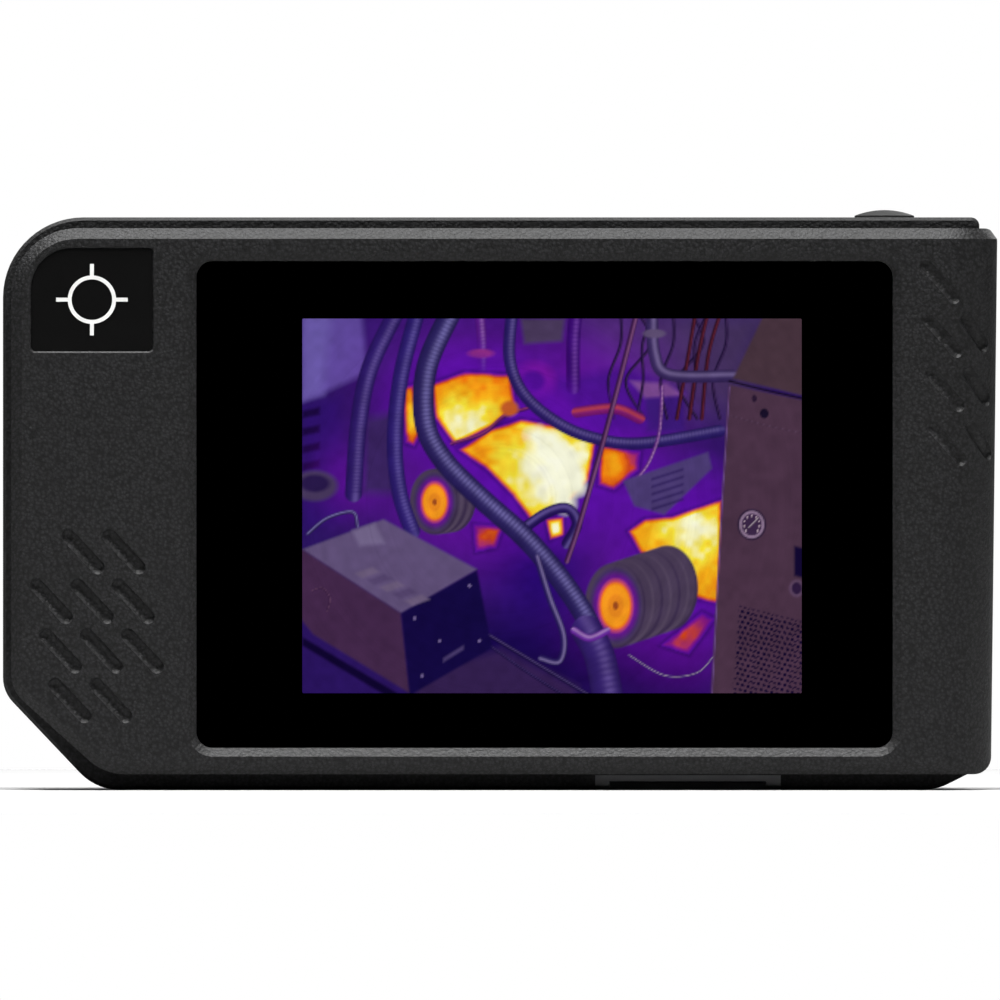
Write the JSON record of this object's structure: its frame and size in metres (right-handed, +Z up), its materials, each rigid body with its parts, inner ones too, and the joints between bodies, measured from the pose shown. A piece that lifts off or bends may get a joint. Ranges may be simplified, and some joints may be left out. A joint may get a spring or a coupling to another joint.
{
  "type": "thermal imaging camera",
  "caption": "Handheld thermal imaging camera with a front touch display, rear infrared lens, top shutter button, port flap and tripod socket.",
  "frame": {"origin": "under the middle of the casing, on its flat bottom", "axes": "+X along the long side to the button end, -Y out of the display, +Y out of the lens, +Z up"},
  "size_m": [0.14, 0.028, 0.0817],
  "materials": {
    "shell_plastic": "fine leather-grain moulded black",
    "rear_plastic": "leather-grain moulded black",
    "soft_rubber": "matt black moulded rubber",
    "grey_plastic": "dark grey moulded",
    "cover_glass": "polished clear",
    "black_ink": "screen-printed black",
    "clear_bond": "clear cured adhesive",
    "screen": "lit display",
    "white_sheet": "white diffuser sheet",
    "pressed_steel": "pressed and plated",
    "screw_steel": "zinc-plated, dark",
    "cast_alloy": "bare alloy plate",
    "black_anodised": "black anodised",
    "foam": "closed-cell foam",
    "amber_film": "polyimide film",
    "black_nylon": "moulded nylon",
    "circuit_board": "green solder mask",
    "chip_black": "moulded epoxy",
    "ceramic_package": "fired ceramic",
    "radio_tin": "tinned can",
    "badge_gloss": "smooth satin black",
    "white_print": "white print",
    "button_rubber": "satin moulded black",
    "bezel_plastic": "satin moulded black",
    "infrared_glass": "dark coated infrared glass",
    "clear_window": "polished clear",
    "cell_wrap": "silver laminate pouch",
    "brass": "turned brass"
  },
  "bodies": {
    "camera": {"front_cover": "shell_plastic", "rear_cover": "rear_plastic", "shell_seal": "soft_rubber", "screw_plugs": "soft_rubber", "rear_grip": "soft_rubber", "port_frame": "grey_plastic", "touch_glass": "cover_glass", "glass_border": "black_ink", "optical_bond": "clear_bond", "display_panel": "screen", "backlight": "white_sheet", "display_tray": "pressed_steel", "usb_receptacle": "pressed_steel", "shield_can": "pressed_steel", "button_spring": "pressed_steel", "flap_pin": "pressed_steel", "case_screws": "screw_steel", "board_screws": "screw_steel", "mount_screws": "screw_steel", "mid_frame": "cast_alloy", "shutter_actuator": "cast_alloy", "lens_barrel": "black_anodised", "lens_ring": "black_anodised", "lens_spacer": "black_anodised", "display_foam": "foam", "battery_pad": "foam", "display_ribbon": "amber_film", "antenna": "amber_film", "display_connector": "black_nylon", "lens_mount": "black_nylon", "tact_switch": "black_nylon", "sensor_connector": "black_nylon", "camera_module": "black_nylon", "battery_plug": "black_nylon", "main_board": "circuit_board", "switch_board": "circuit_board", "sensor_board": "circuit_board", "battery_board": "circuit_board", "processor": "chip_black", "memory_chips": "chip_black", "thermal_sensor": "ceramic_package", "radio_module": "radio_tin", "badge_plate": "badge_gloss", "badge_mark": "white_print", "button_collar": "button_rubber", "lens_bezel": "bezel_plastic", "thermal_lens": "infrared_glass", "rear_lens": "infrared_glass", "sensor_window": "infrared_glass", "camera_window": "clear_window", "battery_cell": "cell_wrap", "tripod_insert": "brass"},
    "shutter_button": {"shutter_button": "button_rubber", "button_clip": "pressed_steel"},
    "switch_plunger": {"switch_plunger": "black_nylon"},
    "port_flap": {"port_flap": "soft_rubber"},
    "calibration_blade": {"calibration_blade": "cast_alloy"}
  },
  "joints": [
    {"name": "button_press", "type": "slide", "parent": "camera", "child": "shutter_button", "axis": [0, 0, 1], "range_m": [-0.0006, 0], "stiffness_N_per_m": 400, "springref_m": 0.0006, "deforming": ["button_spring"]},
    {"name": "plunger_press", "type": "slide", "parent": "camera", "child": "switch_plunger", "axis": [0, 0, 1], "range_m": [-0.0006, 0]},
    {"name": "flap_hinge", "type": "hinge", "parent": "camera", "child": "port_flap", "pos_m": [0.02645, 0.0024, 0.00053], "axis": [1, 0, 0], "range_deg": [0, 100]},
    {"name": "blade_swing", "type": "hinge", "parent": "camera", "child": "calibration_blade", "pos_m": [0.0045, 0, 0.052], "axis": [0, 1, 0], "range_deg": [0, 45]}
  ],
  "couplings": [
    {"joint": "plunger_press", "follows": "button_press", "ratio": 1}
  ]
}
